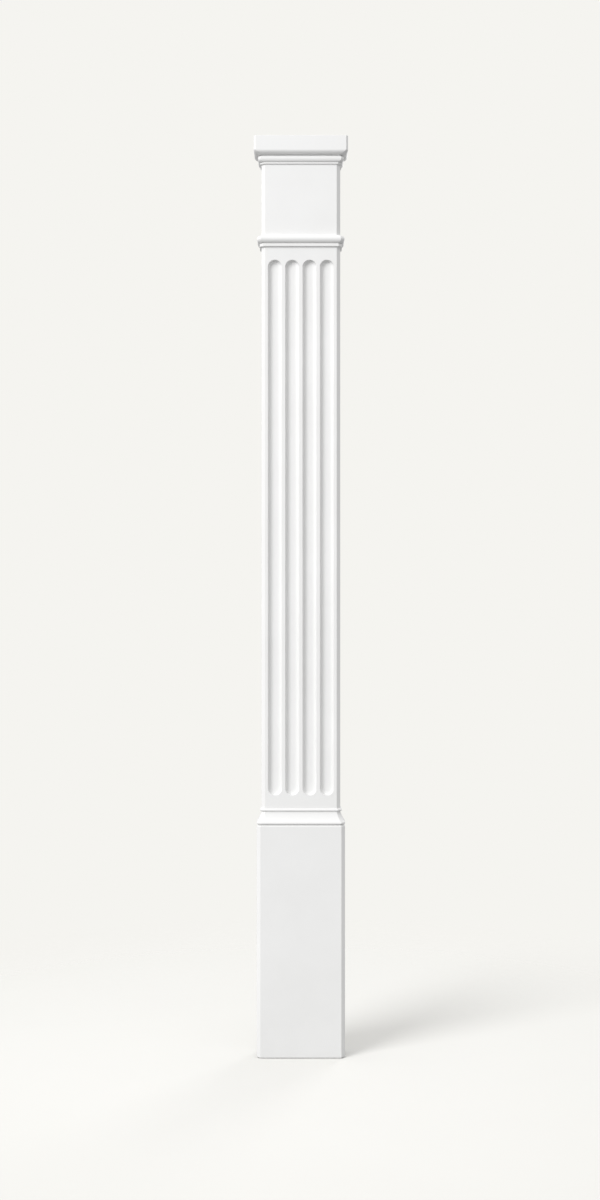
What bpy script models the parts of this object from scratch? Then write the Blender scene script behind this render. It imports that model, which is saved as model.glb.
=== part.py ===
"""Fluted wall pilaster with a plinth, a necking, a plain frieze and a moulded cap, moulded in one piece.

Metres, +Z up. The back lies flat on the wall in the plane y = 0, the front faces -Y, and the origin is
where the middle of the back meets the floor. The section at every height is a slab with its two front
arrises chamfered, so the whole form is a stack of levels, each with a height, a projection beyond the
shaft and a chamfer. Flutes with round ends are then sunk into the shaft's face.
"""

import math

import bmesh
import bpy

# Overall sizes
HEIGHT = 2.286
SHAFT_WIDTH = 0.196
SHAFT_DEPTH = 0.0565
SHAFT_CHAMFER = 0.0089

# Base, from the floor up
PLINTH_HEIGHT = 0.5771
PLINTH_PROJECTION = 0.0116
PLINTH_CHAMFER = 0.0091
PLINTH_EASE = 0.0022
GROOVE_HEIGHT = 0.0033
GROOVE_DEPTH = 0.0050
NOSE_HEIGHT = 0.0040
CAVETTO_HEIGHT = 0.0263
CAVETTO_HOLLOW = 0.0020
BASE_BEAD_HEIGHT = 0.0071
BASE_BEAD_REACH = 0.0036

# Necking between the shaft and the frieze
NECK_FILLET_HEIGHT = 0.0077
NECK_FILLET_PROJECTION = 0.0045
TORUS_HEIGHT = 0.0211
TORUS_REACH = 0.0105
FRIEZE_HEIGHT = 0.1760

# Cap, from the frieze up
CAP_FILLET_HEIGHT = 0.0049
CAP_FILLET_PROJECTION = 0.0032
BEAD_HEIGHT = 0.0164
BEAD_REACH = 0.0052
BEAD_CHAMFER = 0.0062
OVOLO_HEIGHT = 0.0108
OVOLO_QUIRK = 0.0018
OVOLO_CORNER_QUIRK = 0.0004
FASCIA_HEIGHT = 0.0349
CAP_PROJECTION = 0.0187
CAP_CHAMFER = 0.0044

# Flutes. The section is the part of a superellipse within this turn either side of its deepest point, an
# ellipse at a roundness of 1 and squarer below it. The ends' slope runs from upright at a fullness of 0 to
# that of the section itself at 1
FLUTE_COUNT = 4
FLUTE_LAND = 0.0086
FLUTE_EDGE_LAND = 0.0073
FLUTE_FOOT_LAND = 0.0326
FLUTE_HEAD_LAND = 0.0326
FLUTE_DEPTH = 0.0106
FLUTE_SWEEP = math.radians(84)
FLUTE_ROUNDNESS = 0.6
FLUTE_END_FULLNESS = 0.30

# Facets
CAVETTO_STEPS = 8
BASE_BEAD_STEPS = 8
TORUS_STEPS = 12
BEAD_STEPS = 10
OVOLO_STEPS = 8
FLUTE_STEPS = 8
FLUTE_END_STEPS = 16
CUTTER_OVERRUN = 0.010
SHARP_ANGLE = math.radians(28)

PRIMER_COLOUR = (0.86, 0.86, 0.85, 1.0)
PRIMER_ROUGHNESS = 0.55


def clear_scene():
    """Removes whatever the file holds."""
    for found in list(bpy.data.objects):
        bpy.data.objects.remove(found, do_unlink=True)


def primer():
    """White factory primer, as the moulding leaves the mould."""
    material = bpy.data.materials.new("white_primer")
    material.use_nodes = True
    shader = material.node_tree.nodes["Principled BSDF"]
    shader.inputs["Base Color"].default_value = PRIMER_COLOUR
    shader.inputs["Roughness"].default_value = PRIMER_ROUGHNESS
    shader.inputs["Metallic"].default_value = 0.0
    return material


def band(bottom, height, projection):
    """Two levels of a square-edged band round the shaft."""
    return [(bottom, projection, SHAFT_CHAMFER), (bottom + height, projection, SHAFT_CHAMFER)]


def half_round(bottom, height, seat, reach, steps, widest_chamfer=SHAFT_CHAMFER):
    """Levels of a half-round moulding that springs from a face at projection seat and swells by reach."""
    levels = []
    for step in range(steps + 1):
        turn = math.pi * (step / steps - 0.5)
        level = bottom + height / 2 * (1 + math.sin(turn))
        swell = math.cos(turn)
        chamfer = SHAFT_CHAMFER + (widest_chamfer - SHAFT_CHAMFER) * swell
        levels.append((level, seat + reach * swell, chamfer))
    return levels


def cavetto_levels(bottom):
    """Levels of the cavetto, one arc hollowed from the straight line between its ends."""
    chord = math.hypot(PLINTH_PROJECTION, CAVETTO_HEIGHT)
    slope = math.atan(PLINTH_PROJECTION / CAVETTO_HEIGHT)
    half_sweep = 2 * math.atan(2 * CAVETTO_HOLLOW / chord)
    radius = chord / (2 * math.sin(half_sweep))
    levels = []
    for step in range(CAVETTO_STEPS + 1):
        share = step / CAVETTO_STEPS
        turn = slope + half_sweep * (1 - 2 * share)
        level = bottom + radius * (math.sin(slope + half_sweep) - math.sin(turn))
        projection = radius * (math.cos(slope - half_sweep) - math.cos(turn))
        chamfer = PLINTH_CHAMFER + (SHAFT_CHAMFER - PLINTH_CHAMFER) * share
        levels.append((level, projection, chamfer))
    return levels


def base_levels():
    """Plinth with its front edges eased, groove, the nose above it, cavetto and bead."""
    top = PLINTH_HEIGHT
    eased = PLINTH_PROJECTION - PLINTH_EASE
    groove = PLINTH_PROJECTION - GROOVE_DEPTH
    nose = top + GROOVE_HEIGHT
    cavetto = nose + NOSE_HEIGHT
    levels = [
        (0.0, eased, PLINTH_CHAMFER),
        (PLINTH_EASE, PLINTH_PROJECTION, PLINTH_CHAMFER),
        (top - PLINTH_EASE, PLINTH_PROJECTION, PLINTH_CHAMFER),
        (top, eased, PLINTH_CHAMFER),
        (top, groove, PLINTH_CHAMFER),
        (nose, groove, PLINTH_CHAMFER),
        (nose, PLINTH_PROJECTION, PLINTH_CHAMFER),
    ]
    levels += cavetto_levels(cavetto)
    bead = cavetto + CAVETTO_HEIGHT
    return levels + half_round(bead, BASE_BEAD_HEIGHT, 0.0, BASE_BEAD_REACH, BASE_BEAD_STEPS)[1:]


def cap_levels():
    """Fillet, bead, ovolo and fascia. The ovolo springs a small quirk in front of the bead's seat."""
    seat = CAP_FILLET_PROJECTION
    bead_top = HEIGHT - FASCIA_HEIGHT - OVOLO_HEIGHT
    bead = bead_top - BEAD_HEIGHT
    levels = [(bead - CAP_FILLET_HEIGHT, seat, SHAFT_CHAMFER)]
    levels += half_round(bead, BEAD_HEIGHT, seat, BEAD_REACH, BEAD_STEPS, BEAD_CHAMFER)
    foot = seat + OVOLO_QUIRK
    # The quirk is narrower across the chamfer than along the front
    foot_chamfer = SHAFT_CHAMFER + 2 * OVOLO_QUIRK - math.sqrt(2) * OVOLO_CORNER_QUIRK
    for step in range(OVOLO_STEPS + 1):
        turn = math.pi / 2 * step / OVOLO_STEPS
        rise = 1 - math.cos(turn)
        projection = foot + (CAP_PROJECTION - foot) * math.sin(turn)
        chamfer = foot_chamfer + (CAP_CHAMFER - foot_chamfer) * rise
        levels.append((bead_top + OVOLO_HEIGHT * rise, projection, chamfer))
    return levels + [(HEIGHT, CAP_PROJECTION, CAP_CHAMFER)]


def neck_levels(frieze):
    """Fillet and torus below the frieze, whose lower edge is given."""
    torus = frieze - TORUS_HEIGHT
    levels = band(torus - NECK_FILLET_HEIGHT, NECK_FILLET_HEIGHT, NECK_FILLET_PROJECTION)
    return levels + half_round(torus, TORUS_HEIGHT, 0.0, TORUS_REACH, TORUS_STEPS)


def outline(projection, chamfer):
    """Corners of one level's plan, from the back left round the front to the back right."""
    side = SHAFT_WIDTH / 2 + projection
    front = -SHAFT_DEPTH - projection
    return [
        (-side, 0.0),
        (-side, front + chamfer),
        (-side + chamfer, front),
        (side - chamfer, front),
        (side, front + chamfer),
        (side, 0.0),
    ]


def stack(levels):
    """A closed mesh through the outlines of all levels, with one flat back."""
    shape = bmesh.new()
    rings = []
    for level, projection, chamfer in levels:
        corners = outline(projection, chamfer)
        rings.append([shape.verts.new((x, y, level)) for x, y in corners])
    for low, high in zip(rings, rings[1:]):
        for here in range(len(low) - 1):
            after = here + 1
            shape.faces.new((low[here], low[after], high[after], high[here]))
    shape.faces.new(list(reversed(rings[0])))
    shape.faces.new(rings[-1])
    right_edge = [ring[-1] for ring in rings]
    left_edge = [ring[0] for ring in reversed(rings)]
    shape.faces.new(right_edge + left_edge)
    bmesh.ops.recalc_face_normals(shape, faces=shape.faces)
    mesh = bpy.data.meshes.new("pilaster")
    shape.to_mesh(mesh)
    shape.free()
    return mesh


def stadium(shape, centre, half_width, reach, depth, low, high):
    """One ring of a flute, which draws in with its depth, quickly at its sides and less so at its ends."""
    end_reach = half_width * (reach / half_width) ** FLUTE_END_FULLNESS
    ring = []
    for end, first in ((high, 0.0), (low, math.pi)):
        for step in range(FLUTE_END_STEPS + 1):
            turn = first + math.pi * step / FLUTE_END_STEPS
            x = centre + reach * math.cos(turn)
            z = end + end_reach * math.sin(turn)
            ring.append(shape.verts.new((x, -SHAFT_DEPTH + depth, z)))
    return ring


def flute_cutter(name, centre, width, low, high):
    """What a flute removes: a trough with a rounded section and round ends, carried past the face."""
    shape = bmesh.new()
    half_width = width / 2
    half_axis = half_width / math.sin(FLUTE_SWEEP) ** FLUTE_ROUNDNESS
    deep_axis = FLUTE_DEPTH / (1 - math.cos(FLUTE_SWEEP) ** FLUTE_ROUNDNESS)
    rings = [stadium(shape, centre, half_width, half_width, -CUTTER_OVERRUN, low, high)]
    for step in range(FLUTE_STEPS):
        turn = FLUTE_SWEEP * (1 - step / FLUTE_STEPS)
        reach = half_axis * math.sin(turn) ** FLUTE_ROUNDNESS
        depth = FLUTE_DEPTH - deep_axis * (1 - math.cos(turn) ** FLUTE_ROUNDNESS)
        rings.append(stadium(shape, centre, half_width, reach, depth, low, high))
    for outer, inner in zip(rings, rings[1:]):
        for here in range(len(outer)):
            after = (here + 1) % len(outer)
            shape.faces.new((outer[here], outer[after], inner[after], inner[here]))
    # The deepest line of the trough runs between the two end centres
    floor_line = [shape.verts.new((centre, -SHAFT_DEPTH + FLUTE_DEPTH, z)) for z in (high, low)]
    last = rings[-1]
    half = FLUTE_END_STEPS + 1
    for end in range(2):
        for step in range(FLUTE_END_STEPS):
            here = end * half + step
            shape.faces.new((last[here], last[here + 1], floor_line[end]))
        turned = (end + 1) * half % len(last)
        shape.faces.new((last[(end + 1) * half - 1], last[turned], floor_line[1 - end], floor_line[end]))
    shape.faces.new(rings[0])
    bmesh.ops.triangulate(shape, faces=shape.faces)
    bmesh.ops.recalc_face_normals(shape, faces=shape.faces)
    mesh = bpy.data.meshes.new(name)
    shape.to_mesh(mesh)
    shape.free()
    cutter = bpy.data.objects.new(name, mesh)
    bpy.context.scene.collection.objects.link(cutter)
    cutter.hide_render = True
    cutter.display_type = "WIRE"
    return cutter


def cut_flutes(pilaster, shaft_foot, shaft_head):
    """Sinks the flutes side by side into the shaft's flat face, with equal lands between them."""
    face = SHAFT_WIDTH - 2 * SHAFT_CHAMFER
    lands = 2 * FLUTE_EDGE_LAND + (FLUTE_COUNT - 1) * FLUTE_LAND
    width = (face - lands) / FLUTE_COUNT
    low = shaft_foot + FLUTE_FOOT_LAND + width / 2
    high = shaft_head - FLUTE_HEAD_LAND - width / 2
    first = -face / 2 + FLUTE_EDGE_LAND + width / 2
    for number in range(FLUTE_COUNT):
        centre = first + number * (width + FLUTE_LAND)
        cutter = flute_cutter(f"flute_cutter_{number + 1}", centre, width, low, high)
        cut = pilaster.modifiers.new(f"flute_{number + 1}", "BOOLEAN")
        cut.operation = "DIFFERENCE"
        cut.solver = "EXACT"
        cut.object = cutter


def make_pilaster():
    """The whole moulding: the stack of levels, its flutes and its primer."""
    base = base_levels()
    cap = cap_levels()
    frieze = cap[0][0] - FRIEZE_HEIGHT
    neck = neck_levels(frieze)
    shaft_foot = base[-1][0]
    shaft_head = neck[0][0]
    shaft_top = [(shaft_head, 0.0, SHAFT_CHAMFER)]
    frieze_top = [(cap[0][0], 0.0, SHAFT_CHAMFER)]
    pilaster = bpy.data.objects.new("pilaster", stack(base + shaft_top + neck + frieze_top + cap))
    bpy.context.scene.collection.objects.link(pilaster)
    pilaster.data.materials.append(primer())
    cut_flutes(pilaster, shaft_foot, shaft_head)
    pilaster.data.shade_smooth()
    pilaster.data.set_sharp_from_angle(angle=SHARP_ANGLE)


clear_scene()
make_pilaster()
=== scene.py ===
"""Looks of the fluted wall pilaster: its finely shaped moulding, its white primer, and a plain pale studio.

Metres, +Z up. The flat back lies in the plane y = 0 and the fluted front faces -Y. The moulding is a stack
of levels, each with a height, a projection beyond the shaft and a chamfer on its two front arrises, and
every arris is softened as it is when a moulding leaves its mould. The flutes are built into the shaft's
face, with no cut in the mesh.
"""

import math

import bmesh
import bpy
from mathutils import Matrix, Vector


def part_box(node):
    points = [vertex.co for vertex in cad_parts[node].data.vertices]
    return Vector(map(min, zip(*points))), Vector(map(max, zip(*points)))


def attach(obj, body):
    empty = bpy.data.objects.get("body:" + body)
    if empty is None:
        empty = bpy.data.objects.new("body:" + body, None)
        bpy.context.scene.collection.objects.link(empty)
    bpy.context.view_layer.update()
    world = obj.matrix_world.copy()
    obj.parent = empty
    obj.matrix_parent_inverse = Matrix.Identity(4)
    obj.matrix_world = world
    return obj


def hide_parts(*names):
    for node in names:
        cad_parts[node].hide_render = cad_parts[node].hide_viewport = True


# Overall sizes of the shaft; the height and the greatest reach come from the solid
SHAFT_WIDTH = 0.196
SHAFT_DEPTH = 0.0565
SHAFT_CHAMFER = 0.0089

# Base, from the floor up
PLINTH_HEIGHT = 0.5771
PLINTH_PROJECTION = 0.0116
PLINTH_CHAMFER = 0.0091
PLINTH_EASE = 0.0022
GROOVE_HEIGHT = 0.0033
GROOVE_DEPTH = 0.0050
NOSE_HEIGHT = 0.0040
CAVETTO_HEIGHT = 0.0263
CAVETTO_HOLLOW = 0.0020
BASE_BEAD_HEIGHT = 0.0071
BASE_BEAD_REACH = 0.0036

# Necking between the shaft and the frieze
NECK_FILLET_HEIGHT = 0.0077
NECK_FILLET_PROJECTION = 0.0045
TORUS_HEIGHT = 0.0211
TORUS_REACH = 0.0105
FRIEZE_HEIGHT = 0.1760

# Cap, from the frieze up
CAP_FILLET_HEIGHT = 0.0049
CAP_FILLET_PROJECTION = 0.0032
BEAD_HEIGHT = 0.0164
BEAD_REACH = 0.0052
BEAD_CHAMFER = 0.0062
OVOLO_HEIGHT = 0.0108
OVOLO_QUIRK = 0.0018
OVOLO_CORNER_QUIRK = 0.0004
FASCIA_HEIGHT = 0.0349
CAP_CHAMFER = 0.0044

# Flutes. The section is the part of a superellipse within this turn either side of its deepest point, an
# ellipse at a roundness of 1 and squarer below it. The ends' slope runs from upright at a fullness of 0 to
# that of the section itself at 1
FLUTE_COUNT = 4
FLUTE_LAND = 0.0086
FLUTE_EDGE_LAND = 0.0073
FLUTE_FOOT_LAND = 0.0326
FLUTE_HEAD_LAND = 0.0326
FLUTE_DEPTH = 0.0106
FLUTE_SWEEP = math.radians(84)
FLUTE_ROUNDNESS = 0.6
FLUTE_END_FULLNESS = 0.30

# Softened arrises, and the steps of every curve
ARRIS_RADIUS = 0.0011
FLUTE_ARRIS_DEPTH = 0.0006
ARRIS_STEPS = 4
SHARPEST_SMOOTH = math.radians(20)
SHARE_OF_EDGE = 0.45
END_INSET = 0.012
BACK_MARGIN = 0.004
CAVETTO_STEPS = 20
BASE_BEAD_STEPS = 20
TORUS_STEPS = 36
BEAD_STEPS = 30
OVOLO_STEPS = 24
FLUTE_STEPS = 22
FLUTE_END_STEPS = 48

# Camera, from the photograph's perspective
CAMERA_PLACE = (-0.0022, -4.0, 1.1361)
CAMERA_LENS = 47.613
CAMERA_SENSOR = 36.0

# Shading of the mesh's edges
SHARP_ANGLE = math.radians(40)
EVEN_NORMAL_WEIGHT = 50

# Primer: two tones of the coat, the thin coat on an arris and two tones of bare foam, in linear light
COAT_DARK = (0.797, 0.796, 0.791, 1.0)
COAT_LIGHT = (0.817, 0.817, 0.813, 1.0)
RUBBED_COAT = (0.775, 0.76, 0.725, 1.0)
FOAM_DARK = (0.76, 0.735, 0.67, 1.0)
FOAM_LIGHT = (0.82, 0.80, 0.745, 1.0)
PRIMER_SPECULAR = 0.4
GLOSS_RANGE = (0.44, 0.56)
RUBBED_GLOSS = 0.06
FOAM_ROUGHER = 0.3

# The primer's noises, with scales to a metre and the spans of their values that are used, and its relief
NOISE_ROUGHNESS = 0.5
NOISE_SPAN = (0.3, 0.7)
MOTTLE_SCALE = 7.0
MOTTLE_DETAIL = 3.0
MOTTLE_SPAN = (0.35, 0.65)
RUB_SPAN = (0.2, 1.0)
RUB_PATCH_SPAN = (0.4, 0.7)
RUB_PATCH_SHARES = (0.15, 0.6)
SWEEP_SCALE = 26.0
SPECKLE_SCALE = 420.0
GRAIN_SCALE = 1100.0
PEEL_GRAIN = 0.5
FOAM_CELLS = 3.0
RELIEF_STRENGTH = 0.35
RELIEF_DISTANCE = 0.00006

# The bare back: the span of Y over which it begins, and how far from the middle the spray drifts in
BACK_PLANE = (-0.0006, -0.0002)
SPRAY_REACH = (0.085, 0.118)
SPRAY_RAGGED = 0.045

# Studio floor, which fades out between two distances
FLOOR_DARK = (0.761, 0.755, 0.731, 1.0)
FLOOR_LIGHT = (0.777, 0.771, 0.746, 1.0)
FLOOR_NOISE_SCALE = 3.0
FLOOR_ROUGHNESS = 0.9
FLOOR_SPECULAR = 0.1
FLOOR_FADE = (0.35, 1.7)
FLOOR_RADIUS = 1.8
FLOOR_SIDES = 96
FLOOR_DROP = 0.0002
BOUNCE_COLOUR = (0.40, 0.40, 0.39, 1.0)

# Light from all round: strength against the direction's height, and a factor from left to right
BACKDROP_COLOUR = (0.913, 0.905, 0.871, 1.0)
AMBIENT_COLOUR = (1.0, 1.0, 1.0, 1.0)
AMBIENT_HEIGHTS = (-0.6, 0.8)
AMBIENT_STRENGTHS = (0.35, 0.88)
AMBIENT_SIDES = (0.9, 1.1)

# Lamps: place, aim, diameter and power
KEY_LIGHT = ((-6.8, -7.1, 6.6), (0.0, 0.0, 1.2), 6.0, 960.0)
BACK_FILL = ((2.5, 5.0, 3.0), (0.0, 0.0, 1.1), 2.5, 60.0)


def band(bottom, height, projection):
    """Two levels of a square-edged band round the shaft."""
    return [(bottom, projection, SHAFT_CHAMFER), (bottom + height, projection, SHAFT_CHAMFER)]


def half_round(bottom, height, seat, reach, steps, widest_chamfer=SHAFT_CHAMFER):
    """Levels of a half-round moulding that springs from a face at projection seat and swells by reach."""
    levels = []
    for step in range(steps + 1):
        turn = math.pi * (step / steps - 0.5)
        level = bottom + height / 2 * (1 + math.sin(turn))
        swell = math.cos(turn)
        chamfer = SHAFT_CHAMFER + (widest_chamfer - SHAFT_CHAMFER) * swell
        levels.append((level, seat + reach * swell, chamfer))
    return levels


def cavetto_levels(bottom):
    """Levels of the cavetto, one arc hollowed from the straight line between its ends."""
    chord = math.hypot(PLINTH_PROJECTION, CAVETTO_HEIGHT)
    slope = math.atan(PLINTH_PROJECTION / CAVETTO_HEIGHT)
    half_sweep = 2 * math.atan(2 * CAVETTO_HOLLOW / chord)
    radius = chord / (2 * math.sin(half_sweep))
    levels = []
    for step in range(CAVETTO_STEPS + 1):
        share = step / CAVETTO_STEPS
        turn = slope + half_sweep * (1 - 2 * share)
        level = bottom + radius * (math.sin(slope + half_sweep) - math.sin(turn))
        projection = radius * (math.cos(slope - half_sweep) - math.cos(turn))
        chamfer = PLINTH_CHAMFER + (SHAFT_CHAMFER - PLINTH_CHAMFER) * share
        levels.append((level, projection, chamfer))
    return levels


def base_levels():
    """Underside, plinth with its front edges eased, groove, the nose above it, cavetto and bead."""
    top = PLINTH_HEIGHT
    eased = PLINTH_PROJECTION - PLINTH_EASE
    groove = PLINTH_PROJECTION - GROOVE_DEPTH
    nose = top + GROOVE_HEIGHT
    cavetto = nose + NOSE_HEIGHT
    levels = [
        (0.0, PLINTH_PROJECTION - END_INSET, PLINTH_CHAMFER),
        (0.0, eased, PLINTH_CHAMFER),
        (PLINTH_EASE, PLINTH_PROJECTION, PLINTH_CHAMFER),
        (top - PLINTH_EASE, PLINTH_PROJECTION, PLINTH_CHAMFER),
        (top, eased, PLINTH_CHAMFER),
        (top, groove, PLINTH_CHAMFER),
        (nose, groove, PLINTH_CHAMFER),
        (nose, PLINTH_PROJECTION, PLINTH_CHAMFER),
    ]
    levels += cavetto_levels(cavetto)
    bead = cavetto + CAVETTO_HEIGHT
    return levels + half_round(bead, BASE_BEAD_HEIGHT, 0.0, BASE_BEAD_REACH, BASE_BEAD_STEPS)[1:]


def cap_levels(height, reach):
    """Fillet, bead, ovolo, fascia and top. The ovolo springs a small quirk in front of the bead's seat."""
    seat = CAP_FILLET_PROJECTION
    bead_top = height - FASCIA_HEIGHT - OVOLO_HEIGHT
    bead = bead_top - BEAD_HEIGHT
    levels = [(bead - CAP_FILLET_HEIGHT, seat, SHAFT_CHAMFER)]
    levels += half_round(bead, BEAD_HEIGHT, seat, BEAD_REACH, BEAD_STEPS, BEAD_CHAMFER)
    foot = seat + OVOLO_QUIRK
    # The quirk is narrower across the chamfer than along the front
    foot_chamfer = SHAFT_CHAMFER + 2 * OVOLO_QUIRK - math.sqrt(2) * OVOLO_CORNER_QUIRK
    for step in range(OVOLO_STEPS + 1):
        turn = math.pi / 2 * step / OVOLO_STEPS
        rise = 1 - math.cos(turn)
        projection = foot + (reach - foot) * math.sin(turn)
        chamfer = foot_chamfer + (CAP_CHAMFER - foot_chamfer) * rise
        levels.append((bead_top + OVOLO_HEIGHT * rise, projection, chamfer))
    levels.append((height, reach, CAP_CHAMFER))
    levels.append((height, reach - END_INSET, CAP_CHAMFER))
    return levels


def neck_levels(frieze):
    """Fillet and torus below the frieze, whose lower edge is given."""
    torus = frieze - TORUS_HEIGHT
    levels = band(torus - NECK_FILLET_HEIGHT, NECK_FILLET_HEIGHT, NECK_FILLET_PROJECTION)
    return levels + half_round(torus, TORUS_HEIGHT, 0.0, TORUS_REACH, TORUS_STEPS)


def soften(corners, radius):
    """Rounds the sharp corners of an open line whose first two numbers are its plane.

    Gives pairs of a point and a weight, which rises to 1 in the middle of a corner that turns clockwise and
    falls to -1 in one that turns the other way.
    """
    line = [(corners[0], 0.0)]
    for before, corner, after in zip(corners, corners[1:], corners[2:]):
        come = Vector(corner[:2]) - Vector(before[:2])
        leave = Vector(after[:2]) - Vector(corner[:2])
        turn = come.angle(leave)
        if turn < SHARPEST_SMOOTH:
            line.append((corner, 0.0))
            continue
        cut = min(radius * math.tan(turn / 2), SHARE_OF_EDGE * come.length, SHARE_OF_EDGE * leave.length)
        start = [c + (b - c) * cut / come.length for b, c in zip(before, corner)]
        end = [c + (a - c) * cut / leave.length for a, c in zip(after, corner)]
        side = -1.0 if come.cross(leave) > 0 else 1.0
        for step in range(ARRIS_STEPS + 1):
            t = step / ARRIS_STEPS
            point = tuple(
                (1 - t) ** 2 * s + 2 * t * (1 - t) * c + t**2 * e for s, c, e in zip(start, corner, end)
            )
            line.append((point, side * 4 * t * (1 - t)))
    return line + [(corners[-1], 0.0)]


def flute_width():
    """Width of one flute between its sharp edges, from the face that the lands leave."""
    lands = 2 * FLUTE_EDGE_LAND + (FLUTE_COUNT - 1) * FLUTE_LAND
    return (SHAFT_WIDTH - 2 * SHAFT_CHAMFER - lands) / FLUTE_COUNT


def flute_centres():
    """Distance of each flute's centre line from the middle of the face."""
    pitch = flute_width() + FLUTE_LAND
    return [pitch * (number - (FLUTE_COUNT - 1) / 2) for number in range(FLUTE_COUNT)]


def outline(projection, chamfer):
    """One level's plan, from the back left round the front to the back right, with a point on each land."""
    side = SHAFT_WIDTH / 2 + projection
    front = -SHAFT_DEPTH - projection
    centres = flute_centres()
    lands = [((left + right) / 2, front) for left, right in zip(centres, centres[1:])]
    corners = [
        (-side + BACK_MARGIN, 0.0),
        (-side, 0.0),
        (-side, front + chamfer),
        (-side + chamfer, front),
        *lands,
        (side - chamfer, front),
        (side, front + chamfer),
        (side, 0.0),
        (side - BACK_MARGIN, 0.0),
    ]
    return [(point, abs(weight)) for point, weight in soften(corners, ARRIS_RADIUS)]


def flute_section():
    """Half of a flute's section, from its softened edge to its deepest line: reach, depth and weight."""
    half_axis = flute_width() / 2 / math.sin(FLUTE_SWEEP) ** FLUTE_ROUNDNESS
    deep_axis = FLUTE_DEPTH / (1 - math.cos(FLUTE_SWEEP) ** FLUTE_ROUNDNESS)
    wall_height = 1 - (FLUTE_DEPTH - FLUTE_ARRIS_DEPTH) / deep_axis
    wall_turn = math.acos(wall_height ** (1 / FLUTE_ROUNDNESS))
    # The arris bends from the face to the wall, whose top leans out by this much for its depth
    lean = half_axis / deep_axis / math.tan(wall_turn) ** (2 - FLUTE_ROUNDNESS)
    wall_top = half_axis * math.sin(wall_turn) ** FLUTE_ROUNDNESS
    corner = wall_top + FLUTE_ARRIS_DEPTH * lean
    edge = corner + FLUTE_ARRIS_DEPTH * math.hypot(1, lean)
    section = []
    for step in range(ARRIS_STEPS):
        t = step / ARRIS_STEPS
        reach = (1 - t) ** 2 * edge + 2 * t * (1 - t) * corner + t**2 * wall_top
        section.append((reach, t**2 * FLUTE_ARRIS_DEPTH, 4 * t * (1 - t)))
    for step in range(FLUTE_STEPS):
        turn = wall_turn * (1 - step / FLUTE_STEPS)
        reach = half_axis * math.sin(turn) ** FLUTE_ROUNDNESS
        depth = FLUTE_DEPTH - deep_axis * (1 - math.cos(turn) ** FLUTE_ROUNDNESS)
        section.append((reach, depth, 0.0))
    return section


def stadium(shape, arris, centre, row, low, high):
    """One ring of a flute, which draws in with its depth, quickly at its sides and less so at its ends."""
    reach, depth, weight = row
    half_width = flute_width() / 2
    end_reach = half_width * (reach / half_width) ** FLUTE_END_FULLNESS
    ring = []
    for end, first in ((high, 0.0), (low, math.pi)):
        for step in range(FLUTE_END_STEPS + 1):
            turn = first + math.pi * step / FLUTE_END_STEPS
            place = (centre + reach * math.cos(turn), -SHAFT_DEPTH + depth, end + end_reach * math.sin(turn))
            corner = shape.verts.new(place)
            corner[arris] = weight
            ring.append(corner)
    return ring


def fill_flute(shape, arris, centre, low, high):
    """The surface of one flute. Gives its outermost ring, which lies on the shaft's face."""
    rings = [stadium(shape, arris, centre, row, low, high) for row in flute_section()]
    for outer, inner in zip(rings, rings[1:]):
        for here in range(len(outer)):
            after = (here + 1) % len(outer)
            shape.faces.new((outer[here], outer[after], inner[after], inner[here]))
    bottom = [shape.verts.new((centre, -SHAFT_DEPTH + FLUTE_DEPTH, z)) for z in (high, low)]
    last = rings[-1]
    half = FLUTE_END_STEPS + 1
    for end in range(2):
        for step in range(FLUTE_END_STEPS):
            here = end * half + step
            shape.faces.new((last[here], last[here + 1], bottom[end]))
        final = (end + 1) * half - 1
        following = (final + 1) % len(last)
        shape.faces.new((last[final], last[following], bottom[1 - end], bottom[end]))
    return rings[0]


def frame_flute(shape, ring, foot, head):
    """The flat face round one flute, out to the left and right corners of its cell's foot and head."""
    half = FLUTE_END_STEPS + 1
    middle = FLUTE_END_STEPS // 2
    # Over the upper end the ring runs from right to left, and under the lower end from left to right
    for start, first, second in ((0, head[1], head[0]), (half, foot[0], foot[1])):
        for step in range(FLUTE_END_STEPS):
            corner = first if step < middle else second
            shape.faces.new((ring[start + step], ring[start + step + 1], corner))
        shape.faces.new((ring[start + middle], second, first))
    shape.faces.new((ring[half - 1], ring[half], foot[0], head[0]))
    shape.faces.new((ring[-1], ring[0], head[1], foot[1]))


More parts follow.
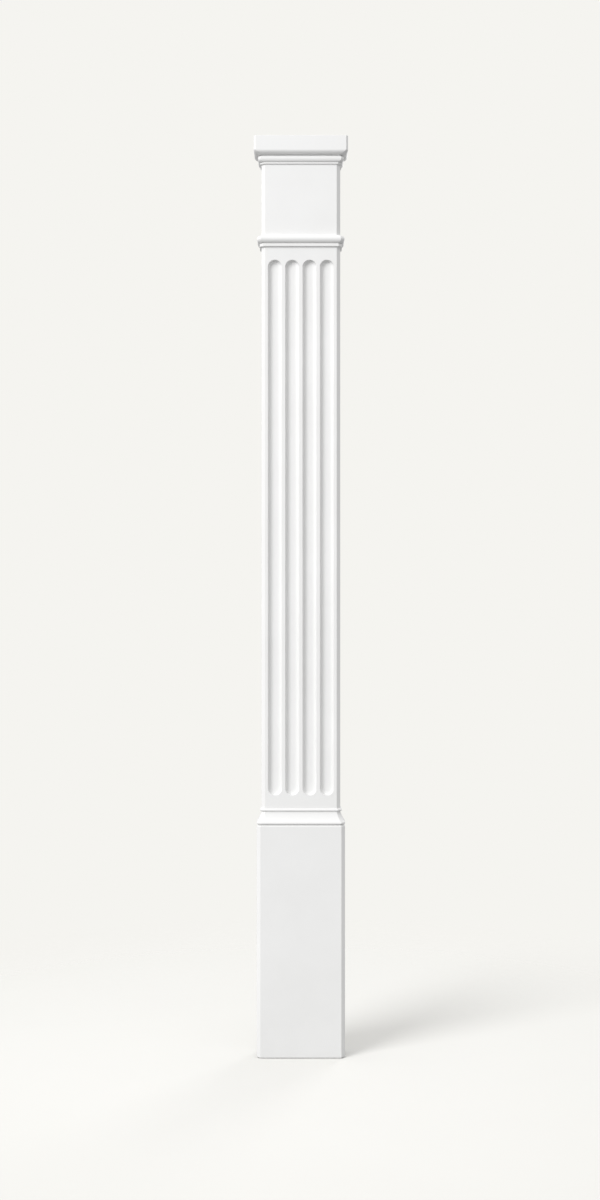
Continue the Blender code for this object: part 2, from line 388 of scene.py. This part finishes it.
def moulding_mesh(height, reach):
    """The whole moulding as one closed mesh, with a point attribute that marks the softened arrises."""
    base = base_levels()
    cap = cap_levels(height, reach)
    neck = neck_levels(cap[0][0] - FRIEZE_HEIGHT)
    shaft_foot = base[-1][0]
    shaft_head = neck[0][0]
    shaft_top = [(shaft_head, 0.0, SHAFT_CHAMFER)]
    frieze_top = [(cap[0][0], 0.0, SHAFT_CHAMFER)]
    levels = soften(base + shaft_top + neck + frieze_top + cap, ARRIS_RADIUS)

    shape = bmesh.new()
    arris = shape.verts.layers.float.new("arris")
    rings = []
    for (level, projection, chamfer), weight in levels:
        ring = []
        for (x, y), turned in outline(projection, chamfer):
            corner = shape.verts.new((x, y, level))
            corner[arris] = max(weight, turned) if weight >= 0 else weight
            ring.append(corner)
        rings.append(ring)

    # The longest step is the plain shaft, whose front carries the flutes
    steps = [high[0].co.z - low[0].co.z for low, high in zip(rings, rings[1:])]
    shaft_step = steps.index(max(steps))
    side_points = (len(rings[0]) - (FLUTE_COUNT - 1)) // 2
    front = range(side_points - 1, side_points + FLUTE_COUNT - 1)
    for number, (low, high) in enumerate(zip(rings, rings[1:])):
        for here in range(len(low) - 1):
            if number == shaft_step and here in front:
                continue
            shape.faces.new((low[here], low[here + 1], high[here + 1], high[here]))
    half = flute_width() / 2
    low_end = shaft_foot + FLUTE_FOOT_LAND + half
    high_end = shaft_head - FLUTE_HEAD_LAND - half
    foot_ring = rings[shaft_step]
    head_ring = rings[shaft_step + 1]
    for here, centre in zip(front, flute_centres()):
        ring = fill_flute(shape, arris, centre, low_end, high_end)
        frame_flute(shape, ring, foot_ring[here : here + 2], head_ring[here : here + 2])

    shape.faces.new(list(reversed(rings[0])))
    shape.faces.new(rings[-1])
    shape.faces.new([ring[-1] for ring in rings] + [ring[0] for ring in reversed(rings)])
    bmesh.ops.recalc_face_normals(shape, faces=shape.faces)
    mesh = bpy.data.meshes.new("pilaster_moulding")
    shape.to_mesh(mesh)
    shape.free()
    return mesh


def apply_modifiers(piece):
    """Puts the piece's modifiers into its mesh."""
    state = bpy.context.evaluated_depsgraph_get()
    evaluated = piece.evaluated_get(state)
    mesh = bpy.data.meshes.new_from_object(evaluated, preserve_all_data_layers=True, depsgraph=state)
    piece.modifiers.clear()
    piece.data = mesh


def noise(nodes, links, place, scale, detail=2.0):
    """A noise texture's value at the given place."""
    texture = nodes.new("ShaderNodeTexNoise")
    texture.inputs["Scale"].default_value = scale
    texture.inputs["Detail"].default_value = detail
    texture.inputs["Roughness"].default_value = NOISE_ROUGHNESS
    links.new(place, texture.inputs["Vector"])
    return texture.outputs["Fac"]


def remap(nodes, links, value, low, high, to_low, to_high, smooth=False):
    """A value carried from one range to another, and held at its ends."""
    node = nodes.new("ShaderNodeMapRange")
    node.clamp = True
    if smooth:
        node.interpolation_type = "SMOOTHSTEP"
    for socket, number in zip(("From Min", "From Max", "To Min", "To Max"), (low, high, to_low, to_high)):
        node.inputs[socket].default_value = number
    links.new(value, node.inputs["Value"])
    return node.outputs["Result"]


def math_node(nodes, links, operation, first, second=None):
    """A sum, product or the like of two values, each a socket or a number."""
    node = nodes.new("ShaderNodeMath")
    node.operation = operation
    for socket, value in zip(node.inputs, (first, second)):
        if isinstance(value, (int, float)):
            socket.default_value = value
        elif value is not None:
            links.new(value, socket)
    return node.outputs["Value"]


def mix_colour(nodes, links, share, first, second):
    """A colour between two, each a socket or a colour."""
    node = nodes.new("ShaderNodeMix")
    node.data_type = "RGBA"
    links.new(share, node.inputs["Factor"])
    for name, value in (("A", first), ("B", second)):
        socket = next(s for s in node.inputs if s.name == name and s.type == "RGBA")
        if isinstance(value, tuple):
            socket.default_value = value
        else:
            links.new(value, socket)
    return next(s for s in node.outputs if s.type == "RGBA")


def primer_material():
    """White factory primer over dense foam: faint mottling, sprayed texture, rubbed arrises, barer back."""
    material = bpy.data.materials.new("white_primer_sprayed")
    material.use_nodes = True
    nodes = material.node_tree.nodes
    links = material.node_tree.links
    shader = nodes["Principled BSDF"]
    place = nodes.new("ShaderNodeTexCoord").outputs["Object"]
    axes = nodes.new("ShaderNodeSeparateXYZ")
    links.new(place, axes.inputs["Vector"])

    mottle = noise(nodes, links, place, MOTTLE_SCALE, MOTTLE_DETAIL)
    speckle = noise(nodes, links, place, SPECKLE_SCALE)
    grain = noise(nodes, links, place, GRAIN_SCALE)
    sweep = noise(nodes, links, place, SWEEP_SCALE)

    coat = mix_colour(
        nodes,
        links,
        remap(nodes, links, mottle, *MOTTLE_SPAN, 0.0, 1.0),
        COAT_DARK,
        COAT_LIGHT,
    )
    edge = nodes.new("ShaderNodeAttribute")
    edge.attribute_name = "arris"
    rubbed = remap(nodes, links, edge.outputs["Fac"], *RUB_SPAN, 0.0, 1.0)
    rub_patch = remap(nodes, links, sweep, *RUB_PATCH_SPAN, *RUB_PATCH_SHARES)
    thin = math_node(nodes, links, "MULTIPLY", rubbed, rub_patch)
    coat = mix_colour(nodes, links, thin, coat, RUBBED_COAT)

    # The flat back takes only drifting spray near its edges, so the cream foam shows through in the middle
    behind = remap(nodes, links, axes.outputs["Y"], *BACK_PLANE, 0.0, 1.0)
    across = math_node(nodes, links, "ABSOLUTE", axes.outputs["X"])
    ragged = math_node(nodes, links, "MULTIPLY", sweep, SPRAY_RAGGED)
    reach_in = math_node(nodes, links, "ADD", across, ragged)
    inner = remap(nodes, links, reach_in, *SPRAY_REACH, 1.0, 0.0, smooth=True)
    bare = math_node(nodes, links, "MULTIPLY", behind, inner)
    foam = mix_colour(
        nodes,
        links,
        remap(nodes, links, speckle, *NOISE_SPAN, 0.0, 1.0),
        FOAM_DARK,
        FOAM_LIGHT,
    )
    links.new(mix_colour(nodes, links, bare, coat, foam), shader.inputs["Base Color"])

    gloss = remap(nodes, links, sweep, *NOISE_SPAN, *GLOSS_RANGE)
    smoother = math_node(nodes, links, "MULTIPLY", rubbed, RUBBED_GLOSS)
    rougher = math_node(nodes, links, "MULTIPLY", bare, FOAM_ROUGHER)
    gloss = math_node(nodes, links, "SUBTRACT", gloss, smoother)
    gloss = math_node(nodes, links, "ADD", gloss, rougher)
    links.new(gloss, shader.inputs["Roughness"])

    fine_peel = math_node(nodes, links, "MULTIPLY", grain, PEEL_GRAIN)
    peel = math_node(nodes, links, "ADD", speckle, fine_peel)
    bare_grain = math_node(nodes, links, "MULTIPLY", grain, bare)
    cells = math_node(nodes, links, "MULTIPLY", bare_grain, FOAM_CELLS)
    relief = nodes.new("ShaderNodeBump")
    relief.inputs["Strength"].default_value = RELIEF_STRENGTH
    relief.inputs["Distance"].default_value = RELIEF_DISTANCE
    links.new(math_node(nodes, links, "ADD", peel, cells), relief.inputs["Height"])
    links.new(relief.outputs["Normal"], shader.inputs["Normal"])
    shader.inputs["Specular IOR Level"].default_value = PRIMER_SPECULAR
    return material


def make_moulding():
    """The visible pilaster, in place of the faceted solid."""
    lowest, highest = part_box("pilaster")
    height = highest.z - lowest.z
    reach = (highest.x - lowest.x - SHAFT_WIDTH) / 2
    piece = bpy.data.objects.new("pilaster_moulding", moulding_mesh(height, reach))
    bpy.context.scene.collection.objects.link(piece)
    piece.data.shade_smooth()
    piece.data.set_sharp_from_angle(angle=SHARP_ANGLE)
    weighted = piece.modifiers.new("even_normals", "WEIGHTED_NORMAL")
    weighted.keep_sharp = True
    weighted.weight = EVEN_NORMAL_WEIGHT
    apply_modifiers(piece)
    piece.data.materials.append(primer_material())
    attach(piece, "root")
    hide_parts("pilaster")


def floor_material():
    """Pale studio floor that melts into the backdrop away from the object."""
    material = bpy.data.materials.new("studio_floor")
    material.use_nodes = True
    nodes = material.node_tree.nodes
    links = material.node_tree.links
    shader = nodes["Principled BSDF"]
    shader.inputs["Roughness"].default_value = FLOOR_ROUGHNESS
    shader.inputs["Specular IOR Level"].default_value = FLOOR_SPECULAR
    place = nodes.new("ShaderNodeTexCoord").outputs["Object"]
    patches = noise(nodes, links, place, FLOOR_NOISE_SCALE)
    tone = mix_colour(nodes, links, patches, FLOOR_DARK, FLOOR_LIGHT)
    # The board throws less light back up than it shows
    seen = nodes.new("ShaderNodeLightPath").outputs["Is Camera Ray"]
    links.new(mix_colour(nodes, links, seen, BOUNCE_COLOUR, tone), shader.inputs["Base Color"])
    length = nodes.new("ShaderNodeVectorMath")
    length.operation = "LENGTH"
    links.new(place, length.inputs[0])
    away = remap(nodes, links, length.outputs["Value"], *FLOOR_FADE, 0.0, 1.0, smooth=True)
    clear = nodes.new("ShaderNodeBsdfTransparent")
    blend = nodes.new("ShaderNodeMixShader")
    links.new(away, blend.inputs["Fac"])
    links.new(shader.outputs["BSDF"], blend.inputs[1])
    links.new(clear.outputs["BSDF"], blend.inputs[2])
    links.new(blend.outputs["Shader"], nodes["Material Output"].inputs["Surface"])
    return material


def make_floor():
    """A round floor of plain pale board."""
    shape = bmesh.new()
    bmesh.ops.create_circle(shape, cap_ends=True, radius=FLOOR_RADIUS, segments=FLOOR_SIDES)
    mesh = bpy.data.meshes.new("studio_floor")
    shape.to_mesh(mesh)
    shape.free()
    floor = bpy.data.objects.new("studio_floor", mesh)
    floor.location = (0.0, 0.0, -FLOOR_DROP)
    bpy.context.scene.collection.objects.link(floor)
    mesh.materials.append(floor_material())


def make_world():
    """Soft light from all round, brighter from above and a little from the right, and a pale backdrop."""
    world = bpy.data.worlds.new("soft_studio")
    bpy.context.scene.world = world
    world.use_nodes = True
    nodes = world.node_tree.nodes
    links = world.node_tree.links
    ambient = nodes["Background"]
    direction = nodes.new("ShaderNodeTexCoord").outputs["Generated"]
    axes = nodes.new("ShaderNodeSeparateXYZ")
    links.new(direction, axes.inputs["Vector"])
    upward = remap(nodes, links, axes.outputs["Z"], *AMBIENT_HEIGHTS, *AMBIENT_STRENGTHS)
    rightward = remap(nodes, links, axes.outputs["X"], -1.0, 1.0, *AMBIENT_SIDES)
    ambient.inputs["Color"].default_value = AMBIENT_COLOUR
    links.new(math_node(nodes, links, "MULTIPLY", upward, rightward), ambient.inputs["Strength"])
    backdrop = nodes.new("ShaderNodeBackground")
    backdrop.inputs["Color"].default_value = BACKDROP_COLOUR
    seen = nodes.new("ShaderNodeLightPath").outputs["Is Camera Ray"]
    blend = nodes.new("ShaderNodeMixShader")
    links.new(seen, blend.inputs["Fac"])
    links.new(ambient.outputs["Background"], blend.inputs[1])
    links.new(backdrop.outputs["Background"], blend.inputs[2])
    links.new(blend.outputs["Shader"], nodes["World Output"].inputs["Surface"])


def make_light(name, place, aim, size, power):
    """A round soft light at a place, aimed at a point."""
    lamp = bpy.data.lights.new(name, "AREA")
    lamp.shape = "DISK"
    lamp.size = size
    lamp.energy = power
    light = bpy.data.objects.new(name, lamp)
    light.location = place
    light.rotation_euler = (Vector(aim) - Vector(place)).to_track_quat("-Z", "Y").to_euler()
    bpy.context.scene.collection.objects.link(light)


def make_camera():
    """The photograph's camera: level, square on, at about half the height of the object."""
    data = bpy.data.cameras.new("camera")
    data.lens = CAMERA_LENS
    data.sensor_width = CAMERA_SENSOR
    camera = bpy.data.objects.new("camera", data)
    camera.location = CAMERA_PLACE
    camera.rotation_euler = (math.radians(90), 0.0, 0.0)
    bpy.context.scene.collection.objects.link(camera)
    bpy.context.scene.camera = camera


def corners(box):
    """A box's two corners as plain lists of numbers."""
    return [list(corner) for corner in box]


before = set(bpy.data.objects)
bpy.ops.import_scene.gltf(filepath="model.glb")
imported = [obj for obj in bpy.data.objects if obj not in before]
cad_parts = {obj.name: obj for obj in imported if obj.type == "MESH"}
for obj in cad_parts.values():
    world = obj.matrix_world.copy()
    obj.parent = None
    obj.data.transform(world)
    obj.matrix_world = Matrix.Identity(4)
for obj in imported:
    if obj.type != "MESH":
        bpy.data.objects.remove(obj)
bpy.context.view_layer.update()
make_camera()
make_moulding()
make_floor()
make_world()
make_light("key_light", *KEY_LIGHT)
make_light("back_fill", *BACK_FILL)
bpy.context.scene.view_settings.view_transform = "Standard"
